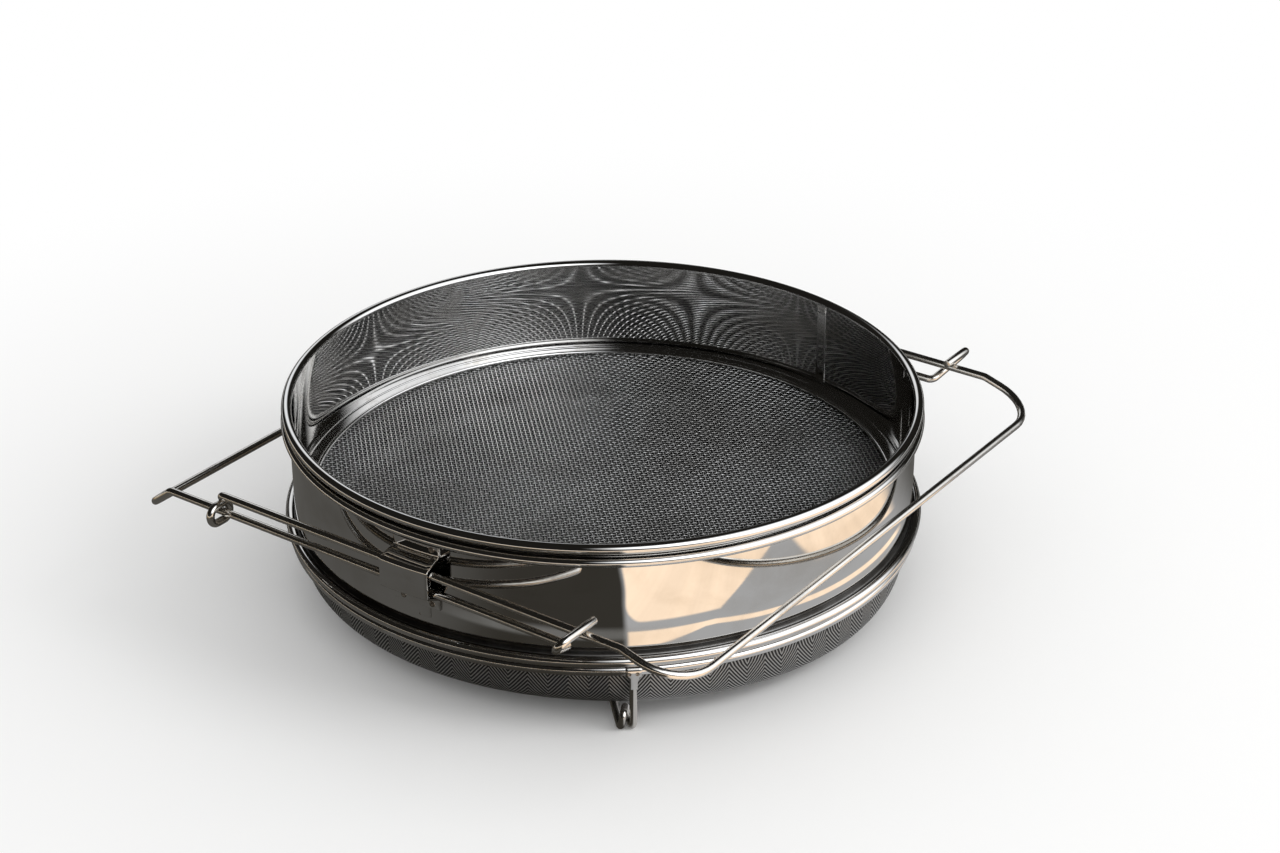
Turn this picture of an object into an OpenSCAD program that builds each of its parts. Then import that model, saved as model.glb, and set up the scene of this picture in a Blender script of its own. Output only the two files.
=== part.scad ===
// Double sieve strainer: a coarse sieve that lifts out of a fine one, with two sliding wire arms.
// The origin is on the sieve's axis at the floor, +X is the way the right arm slides, +Z is up.

/* [Outer sieve] */
// Outside diameter of the outer wall
outer_d = 234.8; // [180:0.2:320]
// Sheet thickness of the outer wall
outer_t = 0.5; // [0.4:0.1:0.8]
// Height of the outer wall, base hem centre to rim centre
outer_h = 39; // [36:0.5:70]
// Diameter of the rolled rim
rim_d = 3.5; // [3:0.1:5]
// Diameter of the rolled base hem
hem_d = 4; // [3.4:0.1:5]
// How far the base hem reaches in under the outer wall
hem_in = 0.4; // [0.3:0.1:0.8]
// Depth of the pressed-in groove that the upper sieve stands on
groove_in = 1.5; // [1:0.1:2]
// Height of the groove's ledge above the base hem centre
ledge_h = 4.6; // [4:0.1:8]

/* [Upper sieve] */
// Sheet thickness of the upper wall
upper_t = 0.5; // [0.4:0.1:0.8]
// Clearance all round between the two walls
nest_gap = 0.3; // [0.2:0.05:0.6]
// Diameter of the rolled upper rim
upper_rim_d = 3.9; // [3:0.1:5]
// Gap between the two rims
rim_gap = 1.2; // [0.4:0.1:3]
// Clearance where one loose piece stands on another
seat_gap = 0.3; // [0.1:0.05:0.5]
// Width of the lip under the coarse cloth
lip_w = 4; // [2:0.5:8]

/* [Coarse cloth] */
// Thickness of the coarse cloth
coarse_t = 0.9; // [0.5:0.1:1.5]
// Width of the clamp ring on the cloth
clamp_w = 6; // [4:0.5:12]
// Height of the clamp ring at the wall
clamp_h = 3.6; // [2.5:0.1:8]
// Sheet thickness of the clamp ring
clamp_t = 0.6; // [0.4:0.1:1]
// Diameter of the clamp ring's rolled edge
clamp_edge_d = 1.8; // [1.4:0.1:3]

/* [Fine cloth] */
// Thickness of the fine cloth
fine_t = 0.5; // [0.3:0.1:0.8]
// Depth of the bowl below its rim
bowl_depth = 22.6; // [10:0.2:23]
// Squareness of the bowl's side, 2 for an ellipse
bowl_power = 5; // [2:0.5:8]
// Diameter of the rolled mesh hoop
hoop_d = 4; // [3.4:0.1:5]
// How far the hoop's centre lies inside the base hem's
hoop_in = 1; // [0.4:0.1:1.5]
// Diameter of the wire behind the cloth's folded edge
hem_wire_d = 1.8; // [1.2:0.1:2]

/* [Feet] */
// Diameter of the foot wire
foot_d = 2.7; // [2:0.1:2.8]
// Height of the hoop's underside above the floor
foot_h = 22.3; // [20:0.1:40]
// Bend radius of the foot's coil
coil_r = 2.4; // [2:0.1:3.5]
// Sideways shift of the coil in one turn
coil_pitch = 4.4; // [4.3:0.1:7]
// Length of the strand that runs in under the bowl
strand_l = 18; // [8:0.5:24]
// Depth of the flat worn into the feet
foot_flat = 0.5; // [0.2:0.1:0.8]
// Bearing of the front foot
foot_turn = -49; // [-60:1:-30]
// Width of the foot straps
strap_w = 5.4; // [3:0.1:8]
// Thickness of the foot straps
strap_t = 0.6; // [0.4:0.1:1]
// Length of the strap's tongue on the leg
tongue_l = 4.6; // [2:0.1:8]

/* [Arms] */
// Diameter of the arm wire
arm_d = 3; // [2:0.1:4]
// Drop of the right arm's sides below the outer rim's centre
arm_drop = 10.6; // [9.5:0.1:16]
// Drop of the left arm's sides below the right arm's
arm_pitch = 7.4; // [7:0.1:10]
// Clearance from the outer rim to the right arm's sides
side_gap = 0.3; // [0.2:0.1:2]
// How much narrower the left arm is, on each side
arm_step = 1.2; // [0:0.1:1.6]
// Clearance from the outer wall to the arms' ends when pushed in
end_gap = 1.1; // [0.6:0.1:10]
// Distance of the hooks from the middle when the arms are pushed in
hook_x = 82; // [60:1:90]
// Clearance of a hook round the other arm's wire
hook_gap = 0.35; // [0.2:0.05:0.8]
// How far the round end of the right arm's hook stands outside the wire it holds
right_reach = 3; // [1:0.1:8]
// How far the round end of the left arm's hook stands outside the wire it holds
left_reach = 9; // [4:0.1:12]
// Length of the right arm's tip past the wire it holds
right_tip = 3; // [1:0.1:5]
// Length of the left arm's tip past the wire it holds
left_tip = 5; // [1:0.1:5.5]
// Lean of the left arm's hook along the wire it holds
hook_lean = 8; // [0:0.5:10]
// Bend radius where an arm turns into its hook
hook_bend = 3; // [2.5:0.1:4]
// Length of the right arm's sloped end
right_nose = 23.5; // [22:0.5:30]
// Slope of the right arm's end
right_slope = 17; // [5:1:25]
// Corner radius of the right arm
right_corner = 17.4; // [8:0.2:18]
// Length of the left arm's sloped end
left_nose = 12; // [11:0.5:20]
// Slope of the left arm's end
left_slope = 38; // [20:1:40]
// Corner radius of the left arm
left_corner = 6; // [4:0.2:8]
// Bend radius where the arms start to slope
slope_bend = 4; // [2:0.5:6]

/* [Arm clips] */
// Length of a clip along the wall
clip_w = 19; // [10:0.5:30]
// Sheet thickness of the clips
clip_t = 0.8; // [0.5:0.1:1.2]
// Bearing of the front clip, from the middle of the front
clip_turn = 3.1; // [0:0.1:6]
// Height of the clips' welded flanges
flange_h = 4; // [2:0.1:4]
// Clearance between a clip's face and the arm wire
clip_gap = 0.3; // [0.2:0.1:1]
// How far a clip's top rises from its face to the wall
clip_rise = 1.9; // [1:0.1:2]
// How far a clip's face reaches below the middle of the left arm's wire
clip_low = 0.6; // [0.4:0.1:2]
// How far a clip's underside falls from its face to the wall
clip_fall = 4; // [3:0.1:5]

/* [Hidden] */
$fn = 96;

steel = [0.72, 0.71, 0.69];
dull_steel = [0.55, 0.55, 0.54];
dark_cloth = [0.36, 0.36, 0.35];

// Room left round core wires, and between pieces of one sheet assembly
core_gap = 0.1;
touch_gap = 0.05;
// How far a wire's straights run into its bends, and how much thicker the bends are
bend_lap = 0.05;
bend_swell = 0.02;
feet = 3;
bowl_steps = 22;
gap_steps = 24;
// Angle that a strap covers round the hoop, and its number of steps
strap_lap = 44;
strap_steps = 6;
quarter_turn = 90;

// Outer sieve
outer_r = outer_d / 2;
outer_in = outer_r - outer_t;
rim_r = outer_in + rim_d / 2;
hem_r = outer_r + hem_d / 2 - hem_in;
hoop_r = hem_r - hoop_in;
hoop_z = foot_h + hoop_d / 2;
hem_z = hoop_z + sqrt(pow((hem_d + hoop_d) / 2 + touch_gap, 2) - hoop_in * hoop_in);
rim_z = hem_z + outer_h;
ledge_z = hem_z + ledge_h;

// Upper sieve
upper_out = outer_in - nest_gap;
upper_in = upper_out - upper_t;
upper_rim_r = upper_in + upper_rim_d / 2;
upper_rim_z = rim_z + rim_d / 2 + rim_gap + upper_rim_d / 2;
upper_base = ledge_z + seat_gap;
coarse_z = upper_base + upper_t + touch_gap;
clamp_z = coarse_z + coarse_t + touch_gap;
clamp_out = upper_in - touch_gap;

// Arms: half widths and levels of their sides
right_w = rim_r + rim_d / 2 + side_gap + arm_d / 2;
left_w = right_w - arm_step;
right_z = rim_z - arm_drop;
left_z = right_z - arm_pitch;
end_x = outer_r + end_gap + arm_d / 2;
hook_r = arm_d + hook_gap;

// Clips: bearing of the end that is farthest round, and the face that clears the wire there
clip_half = clip_w / 2 / outer_r * 180 / PI;
clip_face = (right_w + arm_d / 2 + clip_gap) / cos(clip_turn + clip_half);
face_top = right_z + arm_d / 2 + clip_gap;
face_base = left_z - clip_low;

// Feet
leg_r = hoop_r + hoop_d / 2 - foot_d / 2 - touch_gap;
floor_z = foot_d / 2 - foot_flat;

function unit(v) = v / norm(v);

function reversed(list) = [for (i = [len(list) - 1 : -1 : 0]) list[i]];

// Angle by which a wire turns at corner i of its points
function turn(pts, i) =
    acos(unit(pts[i] - pts[i - 1]) * unit(pts[i + 1] - pts[i]));

// Round bar from a to b
module rod(a, b, d) {
    run = b - a;
    translate(a)
        rotate([0, atan2(norm([run.x, run.y]), run.z), atan2(run.y, run.x)])
            cylinder(h = norm(run), d = d);
}

// Round bend of a wire at corner b, on the way from a to c
module bend(a, b, c, r, d) {
    u = unit(b - a);
    w = unit(c - b);
    axis = unit(cross(u, w));
    out = cross(u, axis);
    start = b - u * r * tan(acos(u * w) / 2);
    centre = start - out * r;
    multmatrix([
        [out.x, u.x, axis.x, centre.x],
        [out.y, u.y, axis.y, centre.y],
        [out.z, u.z, axis.z, centre.z],
        [0, 0, 0, 1]
    ])
        rotate_extrude(angle = acos(u * w))
            translate([r, 0])
                circle(d = d);
}

// Bent wire through points, with one bend radius for each inner corner.
// The straights run a little way into the bends, which are a hair thicker, so that they join cleanly.
module wire(pts, bends, d) {
    last = len(pts) - 1;
    trim = [
        for (i = [0 : last])
            i == 0 || i == last ? 0 : bends[i - 1] * tan(turn(pts, i) / 2) - bend_lap
    ];
    for (i = [0 : last - 1]) {
        along = unit(pts[i + 1] - pts[i]);
        rod(pts[i] + along * trim[i], pts[i + 1] - along * trim[i + 1], d);
    }
    for (i = [1 : last - 1])
        bend(pts[i - 1], pts[i], pts[i + 1], bends[i - 1], d + bend_swell);
}

// Ring of round section
module hoop(r, z, d) {
    translate([0, 0, z])
        rotate_extrude()
            translate([r, 0])
                circle(d = d);
}

// Section of a rolled edge, hollow for its core wire
module roll(r, z, d, t) {
    translate([r, z])
        difference() {
            circle(d = d);
            circle(d = d - 2 * t);
        }
}

// Rectangle between two corners
module box(low, high) {
    translate(low)
        square(high - low);
}

// Upper sieve

module upper_wall() {
    color(steel)
        rotate_extrude() {
            roll(upper_rim_r, upper_rim_z, upper_rim_d, upper_t);
            box([upper_in, upper_base], [upper_out, upper_rim_z]);
            box([upper_in - lip_w, upper_base], [upper_out, upper_base + upper_t]);
        }
}

module upper_rim_wire() {
    color(dull_steel)
        hoop(upper_rim_r, upper_rim_z, upper_rim_d - 2 * upper_t - 2 * core_gap);
}

module coarse_mesh() {
    color(dark_cloth)
        translate([0, 0, coarse_z])
            cylinder(r = upper_in - touch_gap, h = coarse_t);
}

module clamp_ring() {
    color(steel)
        rotate_extrude() {
            box([clamp_out - clamp_t, clamp_z], [clamp_out, clamp_z + clamp_h]);
            box([clamp_out - clamp_w, clamp_z], [clamp_out, clamp_z + clamp_t]);
            translate([clamp_out - clamp_w, clamp_z + clamp_edge_d / 2])
                circle(d = clamp_edge_d);
        }
}

// Outer sieve

module outer_wall() {
    neck_in = outer_in - groove_in;
    neck_out = outer_r - groove_in;
    neck_base = hem_z + hem_d / 2;
    hem_side = hem_r - hem_d / 2;
    color(steel)
        rotate_extrude() {
            roll(rim_r, rim_z, rim_d, outer_t);
            box([outer_in, ledge_z - outer_t], [outer_r, rim_z]);
            box([neck_in, ledge_z - outer_t], [outer_r, ledge_z]);
            box([neck_in, neck_base], [neck_out, ledge_z]);
            polygon([
                [neck_in, neck_base],
                [hem_side, hem_z],
                [hem_side + outer_t, hem_z],
                [neck_out, neck_base]
            ]);
            roll(hem_r, hem_z, hem_d, outer_t);
        }
}

module outer_rim_wire() {
    color(dull_steel)
        hoop(rim_r, rim_z, rim_d - 2 * outer_t - 2 * core_gap);
}

module base_wire() {
    color(dull_steel)
        hoop(hem_r, hem_z, hem_d - 2 * outer_t - 2 * core_gap);
}

module mesh_hoop() {
    slot = fine_t / 2 + core_gap;
    color(steel)
        rotate_extrude()
            difference() {
                roll(hoop_r, hoop_z, hoop_d, outer_t);
                box([hoop_r - hoop_d, hoop_z - slot], [hoop_r, hoop_z + slot]);
            }
}

module hem_wire() {
    color(dull_steel)
        hoop(hoop_r, hoop_z, hem_wire_d);
}

// Side of the bowl from below its rim to the middle of its base
function bowl_side(r, depth) = [
    for (i = [1 : bowl_steps])
        let (a = 90 * i / bowl_steps, p = 2 / bowl_power)
            [i == bowl_steps ? 0 : r * pow(cos(a), p), hoop_z - depth * pow(sin(a), p)]
];

module fine_mesh() {
    bowl_r = hoop_r - hoop_d / 2 - seat_gap;
    edge_r = hoop_r - hem_wire_d / 2 - core_gap;
    color(dark_cloth)
        rotate_extrude()
            polygon(concat(
                [[edge_r, hoop_z + fine_t / 2], [edge_r, hoop_z - fine_t / 2]],
                [[bowl_r, hoop_z - fine_t / 2]],
                bowl_side(bowl_r, bowl_depth),
                reversed(bowl_side(bowl_r - fine_t, bowl_depth - fine_t)),
                [[bowl_r - fine_t, hoop_z + fine_t / 2]]
            ));
}

// Arm clips

// Section of a clip: two welded flanges with a channel for both wires between them
module clip_section() {
    depth = clip_face - outer_r;
    top = face_top + clip_rise;
    base = face_base - clip_fall;
    top_t = clip_t * norm([depth, clip_rise]) / depth;
    base_t = clip_t * norm([depth, clip_fall]) / depth;
    back = outer_r + clip_t;
    front = clip_face + clip_t;
    top_at = function (r) top + top_t - clip_rise * (r - outer_r) / depth;
    base_at = function (r) base - base_t + clip_fall * (r - outer_r) / depth;
    polygon([
        [outer_r, top_at(back) + flange_h],
        [back, top_at(back) + flange_h],
        [back, top_at(back)],
        [front, top_at(front)],
        [front, base_at(front)],
        [back, base_at(back)],
        [back, base_at(back) - flange_h],
        [outer_r, base_at(back) - flange_h],
        [outer_r, base],
        [clip_face, face_base],
        [clip_face, face_top],
        [outer_r, top]
    ]);
}

module clip(bearing) {
    color(steel)
        rotate([0, 0, bearing - clip_half])
            rotate_extrude(angle = 2 * clip_half)
                clip_section();
}

module front_clip() {
    clip(clip_turn - quarter_turn);
}

module rear_clip() {
    clip(clip_turn + quarter_turn);
}

// Arms

// Corner points of one side of an arm, from its end edge to the start of its hook
function arm_side(w, z, nose, slope, length) = [
    [end_x, -w, z - nose * tan(slope)],
    [end_x - nose, -w, z],
    [-length, -w, z]
];

// Point where the line from p that passes a circle of radius r round c on its right meets level z
function touch_at(p, c, r, z) =
    let (
        gap = c - p,
        bearing = atan2(gap.y, gap.x) + asin(r / norm(gap))
    )
    [p.x + (z - p.y) * cos(bearing) / sin(bearing), z];

// The right arm's hook goes down behind the left arm's wire, under it, and back over it
function right_hook() =
    let (
        held = [-left_w, left_z],
        under = touch_at([-right_w, right_z], held, hook_r, left_z - hook_r),
        outside = -left_w - right_reach - hook_r
    )
    [
        [-hook_x, under.x, under.y],
        [-hook_x, outside, left_z - hook_r],
        [-hook_x, outside, left_z + hook_r],
        [-hook_x, -left_w + right_tip, left_z + hook_r]
    ];

// The left arm's hook leans along the right arm's wire, rises outside it and goes back over it
function left_hook() =
    let (
        top = right_z + hook_r,
        climb = norm([hook_lean, top - left_z]),
        bulge = [-right_w - left_reach, climb - hook_r],
        over = touch_at([-left_w, 0], bulge, hook_r, climb)
    )
    [
        [-hook_x, over.x, top],
        [-hook_x, -right_w + left_tip, top]
    ];

// Wire of an arm, from the points and bends of its near side
module arm(near, bends) {
    far = [for (p = near) [p.x, -p.y, p.z]];
    wire(concat(reversed(far), near), concat(reversed(bends), bends), arm_d);
}

module right_arm() {
    color(steel)
        arm(
            concat(arm_side(right_w, right_z, right_nose, right_slope, hook_x), right_hook()),
            [right_corner, slope_bend, hook_bend, hook_r, hook_r, hook_r]
        );
}

module left_arm() {
    color(steel)
        mirror([1, 0, 0])
            arm(
                concat(arm_side(left_w, left_z, left_nose, left_slope, hook_x - hook_lean), left_hook()),
                [left_corner, slope_bend, hook_bend, hook_r]
            );
}

// Feet

// Leg from the hoop to the floor, one turn of coil, and a strand that runs in under the bowl
foot_pts =
    let (
        step = coil_pitch / 4,
        in_r = leg_r - 2 * coil_r - step,
        coil_z = floor_z + 2 * coil_r + step
    )
    [
        [leg_r, 0, foot_h - touch_gap],
        [leg_r, 0, floor_z],
        [in_r, -step, floor_z],
        [in_r, -2 * step, coil_z],
        [leg_r, -3 * step, coil_z],
        [leg_r, -4 * step, floor_z],
        [leg_r - strand_l, -5 * step, floor_z]
    ];

function run_points(a, b) = [for (i = [0 : gap_steps]) a + (b - a) * i / gap_steps];

// Least gap between turns of a wire that don't follow each other
function least_gap(pts, d) =
    let (last = len(pts) - 2)
    min([
        for (i = [0 : last - 2], j = [i + 2 : last])
            for (p = run_points(pts[i], pts[i + 1]), q = run_points(pts[j], pts[j + 1]))
                norm(p - q)
    ]) - d;

echo(coil_gap = least_gap(foot_pts, foot_d));

module foot(bearing) {
    color(dull_steel)
        rotate([0, 0, bearing])
            difference() {
                wire(foot_pts, [for (i = [1 : len(foot_pts) - 2]) coil_r], foot_d);
                translate([0, -outer_r, -foot_d])
                    cube([outer_d, outer_d, foot_d]);
            }
}

// Plate bent round the hoop, with a tongue down the leg
module strap(bearing) {
    inner = hoop_d / 2 + touch_gap;
    outer = inner + strap_t;
    half = strap_w / 2 / hoop_r * 180 / PI;
    angles = [for (i = [0 : strap_steps]) strap_lap * i / strap_steps];
    color(steel)
        rotate([0, 0, bearing - half])
            rotate_extrude(angle = 2 * half)
                translate([hoop_r, hoop_z])
                    polygon(concat(
                        [[inner, -hoop_d / 2 - tongue_l], [outer, -hoop_d / 2 - tongue_l]],
                        [for (a = angles) outer * [cos(a), sin(a)]],
                        [for (a = angles) inner * [cos(strap_lap - a), sin(strap_lap - a)]]
                    ));
}

function foot_bearing(i) = foot_turn + i * 360 / feet;

module foot_front() {
    foot(foot_bearing(0));
}

module foot_right() {
    foot(foot_bearing(1));
}

module foot_left() {
    foot(foot_bearing(2));
}

module strap_front() {
    strap(foot_bearing(0));
}

module strap_right() {
    strap(foot_bearing(1));
}

module strap_left() {
    strap(foot_bearing(2));
}

upper_wall();
upper_rim_wire();
coarse_mesh();
clamp_ring();
outer_wall();
outer_rim_wire();
base_wire();
mesh_hoop();
hem_wire();
fine_mesh();
front_clip();
rear_clip();
right_arm();
left_arm();
foot_front();
foot_right();
foot_left();
strap_front();
strap_right();
strap_left();
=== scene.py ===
"""Looks of a double sieve strainer, built around its packed CAD frame."""
import math
from functools import partialmethod
from types import SimpleNamespace

import bmesh
import bpy
from mathutils import Matrix, Vector


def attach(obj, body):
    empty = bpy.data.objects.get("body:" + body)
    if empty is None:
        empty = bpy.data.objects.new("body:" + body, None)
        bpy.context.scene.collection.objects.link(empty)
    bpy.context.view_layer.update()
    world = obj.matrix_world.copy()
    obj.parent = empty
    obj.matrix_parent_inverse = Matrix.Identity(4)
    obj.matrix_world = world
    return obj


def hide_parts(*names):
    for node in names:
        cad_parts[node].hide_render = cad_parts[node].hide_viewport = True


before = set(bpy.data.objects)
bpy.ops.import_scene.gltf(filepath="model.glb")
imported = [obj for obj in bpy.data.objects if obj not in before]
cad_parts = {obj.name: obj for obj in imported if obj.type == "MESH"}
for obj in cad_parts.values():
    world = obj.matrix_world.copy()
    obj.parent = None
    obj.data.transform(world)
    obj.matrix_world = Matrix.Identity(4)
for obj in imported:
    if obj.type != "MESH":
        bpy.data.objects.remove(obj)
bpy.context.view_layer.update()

bl_info = {
    "name": "Double sieve strainer",
    "version": (1, 0, 0),
    "blender": (4, 5, 0),
    "location": "View3D > Sidebar > Strainer",
    "description": "Builds the sheet, wire and cloth pieces of a double sieve strainer",
    "category": "Object",
}

MM = 0.001
FULL_TURN = 2 * math.pi
ROUND_STEPS = 256
OUTER, UPPER, RIGHT, LEFT = "outer_sieve", "upper_sieve", "arm_right", "arm_left"


# Settings

def length(name, description, mm):
    """A size that a user would change, given in millimetres."""
    return bpy.props.FloatProperty(
        name=name, description=description, default=mm * MM, min=0.0, precision=5, unit="LENGTH"
    )


def angle(name, description, degrees):
    """An angle that a user would change, given in degrees."""
    return bpy.props.FloatProperty(
        name=name, description=description, default=math.radians(degrees), subtype="ANGLE"
    )


def colour(name, description, rgb):
    """A colour that a user would change."""
    return bpy.props.FloatVectorProperty(
        name=name, description=description, default=rgb, size=3, min=0.0, max=1.0, subtype="COLOR"
    )


class WallSizes(bpy.types.PropertyGroup):
    """Sizes of the two walls and their rolled edges."""
    outer_d: length("Outer diameter", "Outside diameter of the outer wall", 234.8)
    sheet_t: length("Sheet", "Thickness of the walls' sheet", 0.5)
    outer_h: length("Outer height", "Height from the base hem's centre to the rim's", 39)
    rim_d: length("Rim", "Diameter of the outer wall's rolled rim", 3.5)
    hem_d: length("Base hem", "Diameter of the rolled base hem", 4)
    hem_in: length("Hem reach", "How far the base hem reaches in under the outer wall", 0.4)
    groove_in: length("Groove", "Depth of the groove that the upper sieve stands on", 1.5)
    ledge_h: length("Ledge", "Height of the groove's ledge above the base hem's centre", 4.6)
    nest_gap: length("Nest gap", "Clearance between the two walls", 0.3)
    seat_gap: length("Seat gap", "Clearance where the upper sieve stands", 0.3)
    upper_rim_d: length("Upper rim", "Diameter of the upper wall's rolled rim", 3.9)
    rim_gap: length("Rim gap", "Gap between the two rims", 1.2)
    lip_w: length("Lip", "Width of the lip under the coarse cloth", 4)
    bend_r: length("Bend", "Radius of the sheet's sharp bends", 0.7)
    upper_seam: angle("Upper seam", "Bearing of the upper wall's lap seam", 76.7)
    outer_seam: angle("Outer seam", "Bearing of the outer wall's lap seam", -85.6)
    seam_w: length("Seam", "Width of a lap seam", 5)


class ClothSizes(bpy.types.PropertyGroup):
    """Sizes of the two wire cloths and what holds them."""
    coarse_t: length("Coarse cloth", "Thickness of the coarse cloth", 0.9)
    coarse_pitch: length("Coarse pitch", "Distance between the coarse cloth's wires", 1.75)
    coarse_wire: length("Coarse wire", "Diameter of the coarse cloth's wires", 0.45)
    coarse_turn: angle("Coarse turn", "Bearing of the coarse cloth's wires", 45)
    clamp_w: length("Clamp width", "Width of the clamp ring", 6)
    clamp_h: length("Clamp height", "Height of the clamp ring at the wall", 3.6)
    clamp_t: length("Clamp sheet", "Sheet thickness of the clamp ring", 0.6)
    clamp_edge: length("Clamp edge", "Diameter of the clamp ring's rolled edge", 1.8)
    fine_t: length("Fine cloth", "Thickness of the fine cloth", 0.5)
    bowl_depth: length("Bowl depth", "Depth of the fine cloth's bowl", 22.6)
    bowl_power: bpy.props.FloatProperty(
        name="Bowl squareness", description="Squareness of the bowl's side", default=5, min=2, max=8
    )
    hoop_d: length("Hoop", "Diameter of the rolled mesh hoop", 4)
    hoop_in: length("Hoop step", "How far the hoop's centre lies inside the base hem's", 1)
    twill_pairs: bpy.props.IntProperty(
        name="Twill columns", description="Pairs of twill columns round the bowl", default=51, min=20, max=90
    )
    sag: bpy.props.FloatProperty(
        name="Sag", description="How much squarer the bowl is where it sags most", default=3.2, min=0, max=4
    )
    sag_turn: angle("Sag turn", "Bearing at which the bowl sags most", -8)
    sag_half: angle("Sag width", "Angle over which the sag dies away", 36)


class ArmSizes(bpy.types.PropertyGroup):
    """Sizes of the arms and of the clips that guide them."""
    arm_d: length("Arm wire", "Diameter of the arm wire", 3)
    arm_drop: length("Arm drop", "Drop of the right arm below the outer rim's centre", 10.6)
    arm_pitch: length("Arm pitch", "Drop of the left arm below the right arm", 7.4)
    side_gap: length("Side gap", "Clearance from the outer rim to the right arm", 0.3)
    arm_step: length("Arm step", "How much narrower the left arm is, on each side", 1.2)
    end_gap: length("End gap", "Clearance from the wall to the arms' ends", 1.1)
    hook_x: length("Hook place", "Distance of the hooks from the middle", 82)
    hook_gap: length("Hook gap", "Clearance of a hook round the other wire", 0.35)
    right_reach: length("Right hook", "How far the right arm's hook stands outside the wire", 3)
    left_reach: length("Left hook", "How far the left arm's hook stands outside the wire", 9)
    right_tip: length("Right tip", "Length of the right arm's tip past the wire", 3)
    left_tip: length("Left tip", "Length of the left arm's tip past the wire", 5)
    hook_lean: length("Hook lean", "Lean of the left arm's hook along the wire", 8)
    hook_bend: length("Hook bend", "Bend radius where an arm turns into its hook", 3)
    right_nose: length("Right nose", "Length of the right arm's sloped end", 23.5)
    right_slope: angle("Right slope", "Slope of the right arm's end", 17)
    right_corner: length("Right corner", "Corner radius of the right arm", 17.4)
    left_nose: length("Left nose", "Length of the left arm's sloped end", 12)
    left_slope: angle("Left slope", "Slope of the left arm's end", 38)
    left_corner: length("Left corner", "Corner radius of the left arm", 6)
    slope_bend: length("Slope bend", "Bend radius where the arms start to slope", 4)
    clip_w: length("Clip", "Length of a clip along the wall", 19)
    clip_t: length("Clip sheet", "Sheet thickness of the clips", 0.8)
    clip_turn: angle("Clip turn", "Bearing of the front clip from the middle of the front", 3.1)
    flange_h: length("Clip flange", "Height of the clips' welded flanges", 4)
    clip_gap: length("Clip gap", "Clearance between a clip's face and the wire", 0.3)
    clip_rise: length("Clip rise", "Rise of a clip's top from its face to the wall", 1.9)
    clip_low: length("Clip reach", "Reach of a clip's face below the left wire's middle", 0.6)
    clip_fall: length("Clip fall", "Fall of a clip's underside from its face to the wall", 4)


class FootSizes(bpy.types.PropertyGroup):
    """Sizes of the feet and their straps."""
    foot_d: length("Foot wire", "Diameter of the foot wire", 2.7)
    foot_h: length("Foot height", "Height of the hoop's underside above the floor", 22.3)
    coil_r: length("Coil bend", "Bend radius of the foot's coil", 2.4)
    coil_pitch: length("Coil shift", "Sideways shift of the coil in one turn", 4.4)
    strand_l: length("Strand", "Length of the strand under the bowl", 18)
    foot_flat: length("Flat", "Depth of the flat under the feet", 0.5)
    foot_turn: angle("Foot turn", "Bearing of the front foot", -49)
    strap_w: length("Strap width", "Width of the foot straps", 5.4)
    strap_t: length("Strap sheet", "Thickness of the foot straps", 0.6)
    strap_lap: angle("Strap lap", "Angle that a strap covers round the hoop", 44)
    tongue_l: length("Tongue", "Length of the strap's tongue on the leg", 4.6)


class FinishColours(bpy.types.PropertyGroup):
    """Colours of the metal."""
    sheet: colour("Sheet", "Polished sheet", (0.66, 0.655, 0.645))
    sheet_worn: colour("Handled sheet", "Polished sheet where it is handled", (0.56, 0.545, 0.52))
    wire: colour("Wire", "Drawn wire", (0.64, 0.62, 0.585))
    wire_dull: colour("Dull wire", "Drawn wire where it is dull", (0.47, 0.45, 0.42))
    # The cloth's crowns are painted near white and its dipping parts in painted shade, as lit and shaded
    # copies of one wire
    cloth: colour("Cloth", "Crowns of the coarse cloth's wires", (0.96, 0.96, 0.955))
    dip_shade: colour("Hollows", "Coarse cloth's wires where they dip and grime gathers", (0.15, 0.147, 0.14))
    twill: colour("Twill", "Ribs of the fine cloth", (0.50, 0.495, 0.48))
    cloth_dark: colour("Dark cloth", "Ground of the fine cloth", (0.030, 0.030, 0.030))
    weld: colour("Weld", "Heat mark of a spot weld", (0.20, 0.17, 0.14))
    # Colour of the painted shade in the groove, in the hoop's inside and nip, and under the upper rim
    crevice_shade_colour: colour("Crevice", "Painted_shade in the groove and under the rim", (0.035, 0.032, 0.028))


SETTINGS = {
    "strainer_walls": WallSizes,
    "strainer_cloths": ClothSizes,
    "strainer_arms": ArmSizes,
    "strainer_feet": FootSizes,
    "strainer_colours": FinishColours,
}
TOUCH = 0.05 * MM


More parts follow.
